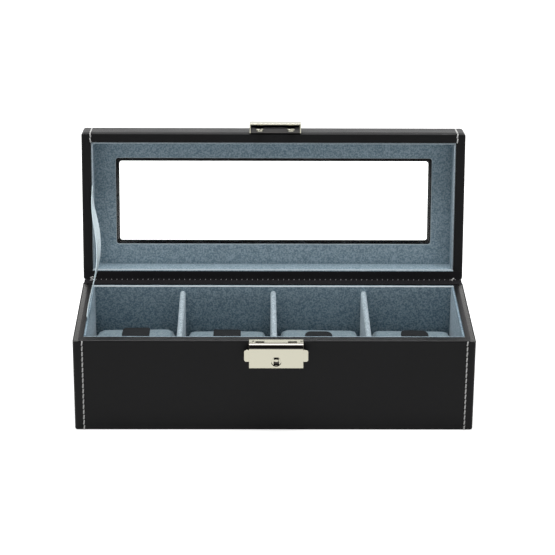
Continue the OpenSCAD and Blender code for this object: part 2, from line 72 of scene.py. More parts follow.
# ---- Camera, lights and floor -------------------------------------------------
# A long lens looks down on the box from in front. One softbox hangs over it, and it
# stands on a white floor in a white room whose near side is dark.
camera = bpy.data.cameras.new("camera")
camera.lens = 141.55
camera.sensor_width = 36
camera.clip_start = 0.05
camera.clip_end = 50
camera_object = bpy.data.objects.new("camera", camera)
bpy.context.collection.objects.link(camera_object)
camera_place = (-0.01715, -1.4952, 0.70685)
pan, tilt, roll = -0.757, -22.173, 0.378
camera_object.matrix_world = (
    Matrix.Translation(camera_place)
    @ Matrix.Rotation(math.radians(pan), 4, "Z")
    @ Matrix.Rotation(math.radians(90 + tilt), 4, "X")
    @ Matrix.Rotation(math.radians(roll), 4, "Z")
)
bpy.context.scene.camera = camera_object
bpy.context.scene.view_settings.view_transform = "Standard"

softbox = bpy.data.lights.new("softbox", "AREA")
softbox.shape = "RECTANGLE"
softbox.size = 1.3
softbox.size_y = 1.1
softbox.energy = 40
softbox_object = bpy.data.objects.new("softbox", softbox)
bpy.context.collection.objects.link(softbox_object)
softbox_object.location = (0.0, 0.1, 1.8)


def new_material(name):
    """A material with its node tree and its shader."""
    made = bpy.data.materials.new(name)
    made.use_nodes = True
    return made, made.node_tree, made.node_tree.nodes["Principled BSDF"]


def arithmetic(tree, operation, value=None, place=1):
    """A node that works on numbers, one of which can be set."""
    made = tree.nodes.new("ShaderNodeMath")
    made.operation = operation
    if value is not None:
        made.inputs[place].default_value = value
    return made


def spread(tree, low, high, start=0.0, end=1.0):
    """A node that spreads what lies from start to end over low to high."""
    made = tree.nodes.new("ShaderNodeMapRange")
    made.inputs["From Min"].default_value = start
    made.inputs["From Max"].default_value = end
    made.inputs["To Min"].default_value = low
    made.inputs["To Max"].default_value = high
    return made


def seen_rays(tree):
    """The ray node, and 1 for what the camera sees, straight or through glass."""
    rays = tree.nodes.new("ShaderNodeLightPath")
    seen = arithmetic(tree, "MAXIMUM")
    tree.links.new(rays.outputs["Is Camera Ray"], seen.inputs[0])
    tree.links.new(rays.outputs["Is Transmission Ray"], seen.inputs[1])
    return rays, seen


world = bpy.data.worlds.new("surround")
bpy.context.scene.world = world
world.use_nodes = True
tree = world.node_tree
tree.nodes.clear()
# Rough surfaces are lit most from low down. Shiny ones mirror white walls, apart from a
# dark zone in front and above.
dark_way = (0, -0.777, 0.629)
rays, seen = seen_rays(tree)
direction = tree.nodes.new("ShaderNodeTexCoord")
height = tree.nodes.new("ShaderNodeSeparateXYZ")
low_light = spread(tree, 0.8, 0.12, end=0.55)
plain = spread(tree, 0.0, 1.0)
towards = tree.nodes.new("ShaderNodeVectorMath")
towards.operation = "DOT_PRODUCT"
towards.inputs[1].default_value = dark_way
dark_side = spread(tree, 1.0, 0.05, 0.76, 0.84)
level = tree.nodes.new("ShaderNodeMix")
surround = tree.nodes.new("ShaderNodeBackground")
surround.inputs["Color"].default_value = (1, 1, 1, 1)
output = tree.nodes.new("ShaderNodeOutputWorld")
tree.links.new(direction.outputs["Generated"], height.inputs[0])
tree.links.new(height.outputs["Z"], low_light.inputs["Value"])
tree.links.new(low_light.outputs["Result"], plain.inputs["To Min"])
tree.links.new(seen.outputs[0], plain.inputs["Value"])
tree.links.new(direction.outputs["Generated"], towards.inputs[0])
tree.links.new(towards.outputs["Value"], dark_side.inputs["Value"])
tree.links.new(rays.outputs["Is Glossy Ray"], level.inputs["Factor"])
tree.links.new(plain.outputs["Result"], level.inputs["A"])
tree.links.new(dark_side.outputs["Result"], level.inputs["B"])
tree.links.new(level.outputs["Result"], surround.inputs["Strength"])
tree.links.new(surround.outputs[0], output.inputs["Surface"])

bpy.ops.object.select_all(action="DESELECT")
bpy.ops.mesh.primitive_plane_add(size=1, location=(0, 3.0, 0))
floor = bpy.context.object
floor.name = "floor"
floor.scale = (14, 7.9, 1)
bpy.ops.object.transform_apply(location=True, rotation=True, scale=True)
white, tree, shade = new_material("white_floor")
shade.inputs["Base Color"].default_value = (0.6, 0.6, 0.6, 1)
shade.inputs["Roughness"].default_value = 1
shade.inputs["Specular IOR Level"].default_value = 0
rays, seen = seen_rays(tree)
camera_glow = arithmetic(tree, "MULTIPLY", 0.78)
gloss_glow = arithmetic(tree, "MULTIPLY_ADD", 0.3)
glow = tree.nodes.new("ShaderNodeEmission")
both = tree.nodes.new("ShaderNodeAddShader")
tree.links.new(seen.outputs[0], camera_glow.inputs[0])
tree.links.new(rays.outputs["Is Glossy Ray"], gloss_glow.inputs[0])
tree.links.new(camera_glow.outputs[0], gloss_glow.inputs[2])
tree.links.new(gloss_glow.outputs[0], glow.inputs["Strength"])
tree.links.new(shade.outputs[0], both.inputs[0])
tree.links.new(glow.outputs[0], both.inputs[1])
tree.links.new(both.outputs[0], tree.nodes["Material Output"].inputs["Surface"])
floor.data.materials.append(white)


# ---- Leather covers -----------------------------------------------------------
# Smooth black leather is glued round the boards and turned over the rims. The side
# pieces wrap the corners and meet the front and back pieces at a sewn seam.
def grain_group():
    """Leather grain: cells with fine creases between them, and slow dull patches."""
    group = bpy.data.node_groups.new("leather grain", "ShaderNodeTree")
    group.interface.new_socket("Cell size", in_out="INPUT", socket_type="NodeSocketFloat")
    group.interface.new_socket("Height", in_out="OUTPUT", socket_type="NodeSocketFloat")
    group.interface.new_socket("Patches", in_out="OUTPUT", socket_type="NodeSocketFloat")
    enter = group.nodes.new("NodeGroupInput")
    leave = group.nodes.new("NodeGroupOutput")
    place = group.nodes.new("ShaderNodeTexCoord")
    cells = group.nodes.new("ShaderNodeTexVoronoi")
    cells.feature = "DISTANCE_TO_EDGE"
    crease = spread(group, 0.0, 1.0, end=0.22)
    pores = group.nodes.new("ShaderNodeTexNoise")
    pores.inputs["Scale"].default_value = 2600
    pores.inputs["Detail"].default_value = 3
    total = arithmetic(group, "MULTIPLY_ADD", 0.35)
    patches = group.nodes.new("ShaderNodeTexNoise")
    patches.inputs["Scale"].default_value = 22
    patches.inputs["Detail"].default_value = 4
    rate = arithmetic(group, "DIVIDE", 1, place=0)
    group.links.new(enter.outputs["Cell size"], rate.inputs[1])
    group.links.new(rate.outputs[0], cells.inputs["Scale"])
    group.links.new(place.outputs["Object"], cells.inputs["Vector"])
    group.links.new(place.outputs["Object"], pores.inputs["Vector"])
    group.links.new(place.outputs["Object"], patches.inputs["Vector"])
    group.links.new(cells.outputs["Distance"], crease.inputs["Value"])
    group.links.new(pores.outputs["Fac"], total.inputs[0])
    group.links.new(crease.outputs["Result"], total.inputs[2])
    group.links.new(total.outputs[0], leave.inputs["Height"])
    group.links.new(patches.outputs["Fac"], leave.inputs["Patches"])
    return group


def two_tones(tree, dark, light):
    """A node that mixes two colours."""
    made = tree.nodes.new("ShaderNodeMix")
    made.data_type = "RGBA"
    made.inputs["A"].default_value = (*dark, 1)
    made.inputs["B"].default_value = (*light, 1)
    return made


def scaled(colour, share):
    """A colour made darker or lighter."""
    return [channel * share for channel in colour]


def leather(name, colour, cell, relief, low_gloss, high_gloss, specular):
    """Grained leather whose gloss drifts between two roughnesses."""
    made, tree, shade = new_material(name)
    shade.inputs["Specular IOR Level"].default_value = specular
    grain = tree.nodes.new("ShaderNodeGroup")
    grain.node_tree = bpy.data.node_groups.get("leather grain") or grain_group()
    grain.inputs["Cell size"].default_value = cell
    tint = two_tones(tree, scaled(colour, 0.75), scaled(colour, 1.3))
    gloss = spread(tree, low_gloss, high_gloss, 0.3, 0.7)
    bump = tree.nodes.new("ShaderNodeBump")
    bump.inputs["Distance"].default_value = relief
    bump.inputs["Strength"].default_value = 0.6
    tree.links.new(grain.outputs["Patches"], tint.inputs["Factor"])
    tree.links.new(tint.outputs["Result"], shade.inputs["Base Color"])
    tree.links.new(grain.outputs["Patches"], gloss.inputs["Value"])
    tree.links.new(gloss.outputs["Result"], shade.inputs["Roughness"])
    tree.links.new(grain.outputs["Height"], bump.inputs["Height"])
    tree.links.new(bump.outputs["Normal"], shade.inputs["Normal"])
    return made


def dress(node, finish):
    """Gives a node its finish."""
    mesh = nodes[node].data
    mesh.materials.clear()
    mesh.materials.append(finish)


def merged_copy(node, name):
    """A piece with a node's solid, its faces joined up and its flat ones made whole."""
    bpy.ops.object.select_all(action="DESELECT")
    piece = bpy.data.objects.new(name, nodes[node].data.copy())
    bpy.context.collection.objects.link(piece)
    piece.select_set(True)
    bpy.context.view_layer.objects.active = piece
    bpy.ops.object.mode_set(mode="EDIT")
    bpy.ops.mesh.select_all(action="SELECT")
    bpy.ops.mesh.remove_doubles(threshold=0.000002)
    bpy.ops.mesh.dissolve_limited(angle_limit=math.radians(1))
    bpy.ops.object.mode_set(mode="OBJECT")
    return piece


def finish_piece(piece, finish, body, slot, *replaced):
    """Gives a piece its finish, the body it rides on and what it stands for."""
    piece.data.materials.clear()
    piece.data.materials.append(finish)
    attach(piece, body)
    if replaced:
        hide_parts(*replaced)


hinge_y = 0.057
rim_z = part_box("base_front_leather")[1][2]
rim_gap = 0.0014
open_angle = math.radians(98.8)
hinge_line = Vector((0, hinge_y, rim_z + rim_gap / 2))
opened = Euler((-open_angle, 0, 0)).to_matrix()


def swung(point):
    """A place on the shut lid, with z from its rim, as it lies with the lid open."""
    return opened @ Vector((point[0], point[1] - hinge_y, point[2] + rim_gap / 2)) + hinge_line


def shut(point):
    """The place on the shut lid, with z from its rim, of a point on the open one."""
    flat = opened.transposed() @ (Vector(point) - hinge_line)
    return Vector((flat.x, flat.y + hinge_y, flat.z - rim_gap / 2))


def turned(direction):
    """A direction on the shut lid, as it points with the lid open."""
    return opened @ Vector(direction)


def crown(piece, edge, inwards, width, top, upwards, depth, fall):
    """Lets a flat face fall away towards one of its edges, over a strip of some width."""
    cuts = 6
    bpy.context.view_layer.objects.active = piece
    bpy.ops.object.mode_set(mode="EDIT")
    for step in range(1, cuts + 1):
        bpy.ops.mesh.select_all(action="SELECT")
        bpy.ops.mesh.bisect(plane_co=edge + inwards * (width * step / cuts),
                            plane_no=inwards)
    bpy.ops.object.mode_set(mode="OBJECT")
    for corner in piece.data.vertices:
        past = width - (corner.co - edge).dot(inwards)
        if past > 0 and (corner.co - top).dot(upwards) > -depth:
            corner.co -= upwards * (fall * (past / width) ** 2)
    bpy.ops.object.shade_smooth_by_angle(angle=math.radians(35))


# A lighter, glossier leather that paints a sheen on the base's outer side rims.
rim_sheen_leather = leather("rim_sheen_leather", (0.011, 0.0105, 0.0085), 0.0007, 0.00004,
                            0.22, 0.3, 0.5)
black_leather = leather("black_leather", (0.0085, 0.0085, 0.0092), 0.0007, 0.00005,
                        0.3, 0.4, 0.16)
for node in ("base_front_leather", "base_back_leather", "lid_back_leather", "lid_top_leather"):
    dress(node, black_leather)

# The side rims of the base fall away towards the outside, and their upward faces there get a
# lighter, glossier leather as a painted sheen. The front and side walls of the lid fall away
# towards its rim.
sheen_from = 0.1414
for side, inwards in (("left", Vector((1, 0, 0))), ("right", Vector((-1, 0, 0)))):
    cover = merged_copy(f"base_{side}_leather", f"{side}_side_cover")
    low, high = (Vector(corner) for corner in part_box(f"base_{side}_leather"))
    outer = low if side == "left" else high
    crown(cover, outer, inwards, width=0.0058, top=high, upwards=Vector((0, 0, 1)),
          depth=0.0011, fall=0.0013)
    finish_piece(cover, black_leather, "base", "leather_black", f"base_{side}_leather")
    cover.data.materials.append(rim_sheen_leather)
    # The upward faces of the outer rim take the painted sheen.
    for face in cover.data.polygons:
        if face.normal.z > 0.6 and abs(face.center.x) > sheen_from:
            face.material_index = 1
for side in ("front", "left", "right"):
    cover = merged_copy(f"lid_{side}_leather", f"lid_{side}_cover")
    crown(cover, swung((0, 0, 0)), turned((0, 0, 1)), width=0.006,
          top=swung((0, -hinge_y, 0)), upwards=turned((0, -1, 0)), depth=0.0009,
          fall=0.0016)
    finish_piece(cover, black_leather, "lid", "leather_black", f"lid_{side}_leather")


# ---- Leather stitching --------------------------------------------------------
# Pale waxed thread runs down the front and the back beside each corner, and over the
# lid's front and back walls. Each stitch leans a little.
def thread(name, colour):
    """Twisted waxed thread: fine slanting strands."""
    made, tree, shade = new_material(name)
    shade.inputs["Roughness"].default_value = 0.6
    shade.inputs["Specular IOR Level"].default_value = 0.3
    place = tree.nodes.new("ShaderNodeTexCoord")
    strands = tree.nodes.new("ShaderNodeTexWave")
    strands.bands_direction = "DIAGONAL"
    strands.inputs["Scale"].default_value = 700
    strands.inputs["Distortion"].default_value = 1.5
    tint = two_tones(tree, scaled(colour, 0.7), colour)
    bump = tree.nodes.new("ShaderNodeBump")
    bump.inputs["Distance"].default_value = 0.0001
    tree.links.new(place.outputs["Object"], strands.inputs["Vector"])
    tree.links.new(strands.outputs["Fac"], tint.inputs["Factor"])
    tree.links.new(tint.outputs["Result"], shade.inputs["Base Color"])
    tree.links.new(strands.outputs["Fac"], bump.inputs["Height"])
    tree.links.new(bump.outputs["Normal"], shade.inputs["Normal"])
    return made


def round_edges(piece, width, steps, sharpest=50, slot=-1):
    """Rounds the edges of the active piece that turn by more than an angle."""
    rounding = piece.modifiers.new("rounding", "BEVEL")
    rounding.width = width
    rounding.segments = steps
    rounding.limit_method = "ANGLE"
    rounding.angle_limit = math.radians(sharpest)
    rounding.material = slot
    bpy.ops.object.modifier_apply(modifier="rounding")


def join(pieces, name):
    """Makes one piece of several."""
    for piece in pieces:
        piece.select_set(True)
    bpy.context.view_layer.objects.active = pieces[0]
    bpy.ops.object.join()
    joined = bpy.context.object
    joined.name = name
    return joined


def sew(name, stitches, length, radius, finish):
    """Lays one short thread for each place, direction and normal, as one piece."""
    bpy.ops.object.select_all(action="DESELECT")
    bpy.ops.mesh.primitive_cylinder_add(vertices=8, radius=radius, depth=length)
    first = bpy.context.object
    round_edges(first, radius * 0.6, 2, sharpest=60)
    bpy.ops.object.shade_smooth()
    laid = []
    for place, direction, normal in stitches:
        along = direction.normalized()
        across = along.cross(normal).normalized()
        up = across.cross(along)
        turn = Matrix((across, up, along)).transposed().to_4x4()
        copy = bpy.data.objects.new(name, first.data.copy())
        copy.data.transform(Matrix.Translation(place) @ turn)
        bpy.context.collection.objects.link(copy)
        laid.append(copy)
    bpy.data.objects.remove(first)
    row = join(laid, name)
    row.data.materials.clear()
    row.data.materials.append(finish)
    return row


white_thread = thread("white_thread", (0.78, 0.78, 0.77))
seam_xs = (-0.1388, 0.1394)
stitch_pitch = 0.0042
first_stitch = 0.0022
stitch_lean = 0.09
stitch_y = hinge_y + 0.00005
base_stitches = []
for x in seam_xs:
    for outwards in (-1, 1):
        for number in range(17):
            z = rim_z - first_stitch - number * stitch_pitch
            base_stitches.append((Vector((x, outwards * stitch_y, z)),
                                  Vector((stitch_lean, 0, 1)), Vector((0, outwards, 0))))
base_seams = sew("base_seam_stitches", base_stitches, 0.0036, 0.0005, white_thread)
finish_piece(base_seams, white_thread, "base", "ribbon_satin")

# On the lid, two more stitches of each seam cross the front rim.
lid_stitches = []
for x in seam_xs:
    for outwards in (-1, 1):
        for number in range(5):
            place = swung((x, outwards * stitch_y, first_stitch + number * stitch_pitch))
            along = turned((0, 0, 1)) + Vector((stitch_lean, 0, 0))
            lid_stitches.append((place, along, turned((0, outwards, 0))))
    for number in range(2):
        place = swung((x, -hinge_y + 0.0018 + number * 0.0038, -0.00005))
        along = turned((0, 1, 0)) + Vector((math.copysign(0.15, -x), 0, 0))
        lid_stitches.append((place, along, turned((0, 0, -1))))
lid_seams = sew("lid_seam_stitches", lid_stitches, 0.0036, 0.0005, white_thread)
finish_piece(lid_seams, white_thread, "lid", "ribbon_satin")


# ---- Boards and felt ----------------------------------------------------------
# Fibreboard panels carry the leather and are hidden by it. Black felt is glued over
# the middle of the underside.
def fibres(name, colour, scale, relief, roughness):
    """A matted, fibrous surface: pressed board or felt."""
    made, tree, shade = new_material(name)
    shade.inputs["Roughness"].default_value = roughness
    shade.inputs["Specular IOR Level"].default_value = 0.1
    place = tree.nodes.new("ShaderNodeTexCoord")
    mat = tree.nodes.new("ShaderNodeTexNoise")
    mat.inputs["Scale"].default_value = scale
    mat.inputs["Detail"].default_value = 6
    tint = two_tones(tree, scaled(colour, 0.7), scaled(colour, 1.3))
    bump = tree.nodes.new("ShaderNodeBump")
    bump.inputs["Distance"].default_value = relief
    tree.links.new(place.outputs["Object"], mat.inputs["Vector"])
    tree.links.new(mat.outputs["Fac"], tint.inputs["Factor"])
    tree.links.new(tint.outputs["Result"], shade.inputs["Base Color"])
    tree.links.new(mat.outputs["Fac"], bump.inputs["Height"])
    tree.links.new(bump.outputs["Normal"], shade.inputs["Normal"])
    return made


fibreboard = fibres("fibreboard", (0.42, 0.31, 0.2), 900, 0.0001, 0.9)
felt = fibres("black_felt", (0.02, 0.02, 0.022), 1400, 0.0003, 1.0)
for part in ("base", "lid"):
    for side in ("front", "back", "left", "right"):
        dress(f"{part}_{side}_board", fibreboard)
dress("base_floor_board", fibreboard)
dress("lid_top_board", fibreboard)
dress("underside_felt", felt)


# ---- Velour lining and dividers -----------------------------------------------
# Grey-blue velour is stretched over thin card panels, which are pushed into the base
# and the lid. Its folded edges are round and get a third tone: a painted highlight, and on
# the base's side panels painted shade. The pile lies in patches.
def velour_group():
    """Velour: brushed patches, pile tufts, and their height."""
    group = bpy.data.node_groups.new("velour pile", "ShaderNodeTree")
    group.interface.new_socket("Patch size", in_out="INPUT", socket_type="NodeSocketFloat")
    group.interface.new_socket("Shade", in_out="OUTPUT", socket_type="NodeSocketFloat")
    group.interface.new_socket("Height", in_out="OUTPUT", socket_type="NodeSocketFloat")
    enter = group.nodes.new("NodeGroupInput")
    leave = group.nodes.new("NodeGroupOutput")
    place = group.nodes.new("ShaderNodeTexCoord")
    rate = arithmetic(group, "DIVIDE", 1, place=0)
    brushed = group.nodes.new("ShaderNodeTexNoise")
    brushed.inputs["Detail"].default_value = 5
    brushed.inputs["Roughness"].default_value = 0.62
    brushed.inputs["Distortion"].default_value = 0.6
    tufts = group.nodes.new("ShaderNodeTexNoise")
    tufts.inputs["Scale"].default_value = 850
    tufts.inputs["Detail"].default_value = 3
    mixed = group.nodes.new("ShaderNodeMix")
    mixed.inputs["Factor"].default_value = 0.7
    stretch = spread(group, 0.0, 1.0, 0.41, 0.59)
    group.links.new(enter.outputs["Patch size"], rate.inputs[1])
    group.links.new(rate.outputs[0], brushed.inputs["Scale"])
    group.links.new(place.outputs["Object"], brushed.inputs["Vector"])
    group.links.new(place.outputs["Object"], tufts.inputs["Vector"])
    group.links.new(brushed.outputs["Fac"], mixed.inputs["A"])
    group.links.new(tufts.outputs["Fac"], mixed.inputs["B"])
    group.links.new(mixed.outputs["Result"], stretch.inputs["Value"])
    group.links.new(stretch.outputs["Result"], leave.inputs["Shade"])
    group.links.new(mixed.outputs["Result"], leave.inputs["Height"])
    return group


def velour(name, dark, light, painted_fold_shading, patch, relief):
    """Short-pile velour between two tones, with a third tone painted on its folded edges:
    painted highlight when it is lighter, painted shade when darker.
    """
    made, tree, shade = new_material(name)
    shade.inputs["Roughness"].default_value = 0.9
    shade.inputs["Specular IOR Level"].default_value = 0.1
    shade.inputs["Sheen Weight"].default_value = 0.3
    shade.inputs["Sheen Roughness"].default_value = 0.4
    shade.inputs["Sheen Tint"].default_value = (0.75, 0.87, 0.95, 1)
    pile = tree.nodes.new("ShaderNodeGroup")
    pile.node_tree = bpy.data.node_groups.get("velour pile") or velour_group()
    pile.inputs["Patch size"].default_value = patch
    tint = two_tones(tree, dark, light)
    # The fold attribute brings the third tone onto the rounded edges as painted light and
    # shade.
    fold = tree.nodes.new("ShaderNodeAttribute")
    fold.attribute_name = "fold"
    share = arithmetic(tree, "MULTIPLY", 0.8)
    edge = two_tones(tree, dark, painted_fold_shading)
    bump = tree.nodes.new("ShaderNodeBump")
    bump.inputs["Distance"].default_value = relief
    bump.inputs["Strength"].default_value = 0.8
    tree.links.new(pile.outputs["Shade"], tint.inputs["Factor"])
    tree.links.new(fold.outputs["Fac"], share.inputs[0])
    tree.links.new(share.outputs[0], edge.inputs["Factor"])
    tree.links.new(tint.outputs["Result"], edge.inputs["A"])
    tree.links.new(edge.outputs["Result"], shade.inputs["Base Color"])
    tree.links.new(pile.outputs["Height"], bump.inputs["Height"])
    tree.links.new(bump.outputs["Normal"], shade.inputs["Normal"])
    return made


def take_over(node, name, body, slot, finish, edge, steps):
    """A piece with a node's solid and round edges, which its fold attribute marks for painted
    edge shading.
    """
    piece = merged_copy(node, name)
    piece.data.materials.clear()
    piece.data.materials.append(finish)
    piece.data.materials.append(finish)
    round_edges(piece, edge, steps, slot=1)
    # The vertices of the rounded edges are marked to carry the velour's painted edge tone.
    painted_fold_shading = [1.0] * len(piece.data.vertices)
    for face in piece.data.polygons:
        if face.material_index == 0:
            for corner in face.vertices:
                painted_fold_shading[corner] = 0.0
        face.material_index = 0
    piece.data.attributes.new("fold", "FLOAT", "POINT").data.foreach_set("value", painted_fold_shading)
    bpy.ops.object.shade_smooth_by_angle(angle=math.radians(35))
    finish_piece(piece, finish, body, slot, node)
    return piece


base_velour = velour("base_velour", (0.15, 0.222, 0.275), (0.34, 0.44, 0.505),
                     (0.7, 0.74, 0.76), 0.003, 0.0005)
# The base's side panels get a darker copy of the velour, as painted shade.
shaded_side_velour = velour("shaded_side_velour", (0.13, 0.195, 0.245), (0.3, 0.39, 0.45),
                     (0.1, 0.14, 0.17), 0.003, 0.0005)
# The lid's panels and window frame get a lighter copy of the velour, as painted light.
lit_lid_velour = velour("lit_lid_velour", (0.19, 0.275, 0.33), (0.4, 0.5, 0.565),
                     (0.6, 0.66, 0.69), 0.003, 0.0005)
for side in ("front", "back", "left", "right"):
    take_over(f"{side}_lining", f"{side}_velour_panel", "base", "velour_grey",
              shaded_side_velour if side in ("left", "right") else base_velour, 0.0009, 4)
    lid_panel = take_over(f"lid_{side}_lining", f"lid_{side}_velour_panel", "lid",
                          "velour_grey", lit_lid_velour, 0.0005, 4)
    if side == "back":
        # The cloth at its rim rolls out over the edge of the leather.
        rim_corner = swung((0, 0.0500, 0.0004))
        roll_reach = 0.0021
        for corner in lid_panel.data.vertices:
            near = Vector((0, corner.co.y, corner.co.z)) - rim_corner
            share = max(0, 1 - near.length / roll_reach)
            corner.co += share * turned((0, 0.0012, -0.0008))
take_over("floor_lining", "floor_velour_panel", "base", "velour_grey", base_velour, 0.0009, 4)
take_over("lid_ceiling_lining", "window_frame_velour", "lid", "velour_grey",
          lit_lid_velour, 0.0006, 4)
# The dividers get a paler copy of the velour, which paints the light on their tops.
lit_divider_velour = velour("lit_divider_velour", (0.215, 0.275, 0.31), (0.46, 0.53, 0.57),
                        (0.72, 0.755, 0.77), 0.003, 0.0005)
for number in (1, 2, 3):
    take_over(f"divider_{number}", f"velour_divider_{number}", "base", "velour_grey",
              lit_divider_velour, 0.0018, 6)


# ---- Watch pillows ------------------------------------------------------------
# Each pillow is a wadded oval roll of velour coloured darker as painted shade, with a seam
# round each end. It lifts out of its compartment, and a watch is strapped round it.
# A darker copy of the velour, as painted shade.
shaded_pillow_velour = velour("shaded_pillow_velour", (0.125, 0.175, 0.205), (0.22, 0.275, 0.3),
                       (0.26, 0.31, 0.34), 0.005, 0.0004)
shrink_x, shrink_y, shrink_z = 0.997, 0.985, 0.98
cell_size = 0.0025
swell_limit = 0.0004
cloth_steps = 20


def stuffed(node, name):
    """A node's solid shrunk a little and meshed evenly, ready to be blown up."""
    piece = merged_copy(node, name)
    low, high = (Vector(corner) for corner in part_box(node))
    middle = (low + high) / 2
    bpy.ops.object.mode_set(mode="EDIT")
    bpy.ops.mesh.quads_convert_to_tris()
    bpy.ops.object.mode_set(mode="OBJECT")
    for corner in piece.data.vertices:
        away = corner.co - middle
        corner.co = middle + Vector((away.x * shrink_x, away.y * shrink_y,
                                     away.z * shrink_z))
    cells = piece.modifiers.new("cells", "REMESH")
    cells.mode = "VOXEL"
    cells.voxel_size = cell_size
    bpy.ops.object.modifier_apply(modifier="cells")
    return piece, middle


def blow_up(piece):
    """Swells a closed cloth by a little air pressure, and no further than its limit."""
    start = [corner.co.copy() for corner in piece.data.vertices]
    blow = piece.modifiers.new("blow", "CLOTH")
    blow.settings.quality = 6
    blow.settings.mass = 0.2
    blow.settings.tension_stiffness = 18
    blow.settings.compression_stiffness = 12
    blow.settings.bending_stiffness = 0.6
    blow.settings.use_pressure = True
    blow.settings.uniform_pressure_force = 4
    blow.settings.effector_weights.gravity = 0
    blow.point_cache.frame_start = 1
    blow.point_cache.frame_end = cloth_steps
    for step in range(1, cloth_steps + 1):
        bpy.context.scene.frame_set(step)
    bpy.ops.object.modifier_apply(modifier="blow")
    for corner, first in zip(piece.data.vertices, start):
        moved = corner.co - first
        corner.co = first + moved * min(1, swell_limit / max(moved.length, 1e-9))
    bpy.context.scene.frame_set(1)


# Number of the pillow, how much its crown bulges, and how much the crown leans sideways.
pillow_forms = (
    (1, 0.0022, 0.022),
    (2, 0.0, 0.004),
    (3, 0.0018, -0.01),
    (4, 0.0007, -0.022),
)
seam_x = 0.0262
seam_depth = 0.0004
seam_width = 0.0006
seam_ring = 0.012
for number, puff, tilt in pillow_forms:
    pillow, middle = stuffed(f"pillow_{number}", f"velour_pillow_{number}")
    blow_up(pillow)
    finer = pillow.modifiers.new("finer", "SUBSURF")
    finer.levels = 1
    finer.render_levels = 1
    bpy.ops.object.modifier_apply(modifier="finer")
    half_height = max(corner.co.z for corner in pillow.data.vertices) - middle.z
    for corner in pillow.data.vertices:
        away = corner.co - middle
        sunk = seam_depth * math.exp(-((abs(away.x) - seam_x) / seam_width) ** 2)
        crest = max(0, away.z / half_height) ** 2
        corner.co.z += crest * (puff + tilt * away.x)
        away.x = 0
        if away.length > seam_ring:
            corner.co -= away.normalized() * sunk
    bpy.ops.object.shade_smooth()
    finish_piece(pillow, shaded_pillow_velour, f"pillow_{number}_body", "velour_pillow",
                 f"pillow_{number}")


# ---- Pull tabs ----------------------------------------------------------------
# A charcoal suede strip is sewn to the front of each pillow's crown and laid back over
# it, to pull the pillow out by. The first two spring up a little at their free ends.
def thicken(piece, thickness, offset):
    """Gives the active sheet a thickness, to one side of it or about its middle."""
    thick = piece.modifiers.new("thick", "SOLIDIFY")
    thick.thickness = thickness
    thick.offset = offset
    bpy.ops.object.modifier_apply(modifier="thick")


suede = leather("charcoal_suede", (0.0095, 0.011, 0.0125), 0.0009, 0.0001, 0.75, 0.95, 0.2)
# Number of the tab, how far its free end rises, how far back that end lies, the width
# and the length of its rounded corners, and how far it lies askew.
tab_forms = (
    (1, 0.0003, 0.0260, 0.0030, 0.0100, 0.0003),
    (2, 0.0003, 0.0260, 0.0012, 0.0030, -0.0004),
    (3, 0.0, 0.0125, 0.0050, 0.0100, 0.0),
    (4, 0.0, 0.0210, 0.0048, 0.0120, 0.0002),
)
tab_width = 0.0205
tab_length = 0.040
tab_thickness = 0.0012
sewn_share = 0.25
for number, rise, reach, round_x, round_y, skew in tab_forms:
    tab_low, tab_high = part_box(f"pillow_tab_{number}")
    tab_x = (tab_low[0] + tab_high[0]) / 2
    pillow = bpy.data.objects[f"velour_pillow_{number}"]
    bpy.ops.object.select_all(action="DESELECT")
    bpy.ops.mesh.primitive_grid_add(x_subdivisions=18, y_subdivisions=40, size=1)
    tab = bpy.context.object
    tab.name = f"pull_tab_{number}"
    for corner in tab.data.vertices:
        across = corner.co.x * tab_width
        back = corner.co.y * tab_length
        past = (back - (tab_length / 2 - round_y)) / round_y
        if past > 0:
            narrow = round_x * (1 - math.sqrt(max(0, 1 - past ** 2)))
            across *= 1 - 2 * narrow / tab_width
        y = reach - tab_length / 2 + back + skew * across / tab_width * 2
        above = Vector((tab_x + across, y, 0.09))
        _, place, _, _ = pillow.ray_cast(above, Vector((0, 0, -1)))
        freed = max(0.0, back / tab_length + 0.5 - sewn_share) / (1 - sewn_share)
        corner.co = Vector((tab_x + across, y, place.z + 0.0002 + rise * freed ** 2))
    thicken(tab, tab_thickness, 1)
    round_edges(tab, 0.0004, 3)
    bpy.ops.object.shade_smooth_by_angle(angle=math.radians(40))
    finish_piece(tab, suede, f"pillow_{number}_body", "tab_charcoal", f"pillow_tab_{number}")


# ---- Lock, latch and catch ----------------------------------------------------
# Pressed and nickel-plated sheet: a case with two slots, a sprung slider with an ear at
# each side, a key plug, and on the lid a cap whose two hooks drop through the slots.
# The faces that look into the hollows get a dark plate, as painted shade.
def plated(name, colour, roughness):
    """Polished plate with faint smears."""
    made, tree, shade = new_material(name)
    shade.inputs["Base Color"].default_value = (*colour, 1)
    shade.inputs["Metallic"].default_value = 1
    place = tree.nodes.new("ShaderNodeTexCoord")
    smears = tree.nodes.new("ShaderNodeTexNoise")
    smears.inputs["Scale"].default_value = 160
    smears.inputs["Detail"].default_value = 4
    gloss = spread(tree, roughness * 0.7, roughness * 1.5)
    bump = tree.nodes.new("ShaderNodeBump")
    bump.inputs["Distance"].default_value = 0.00003
    bump.inputs["Strength"].default_value = 0.4
    tree.links.new(place.outputs["Object"], smears.inputs["Vector"])
    tree.links.new(smears.outputs["Fac"], gloss.inputs["Value"])
    tree.links.new(gloss.outputs["Result"], shade.inputs["Roughness"])
    tree.links.new(smears.outputs["Fac"], bump.inputs["Height"])
    tree.links.new(bump.outputs["Normal"], shade.inputs["Normal"])
    return made


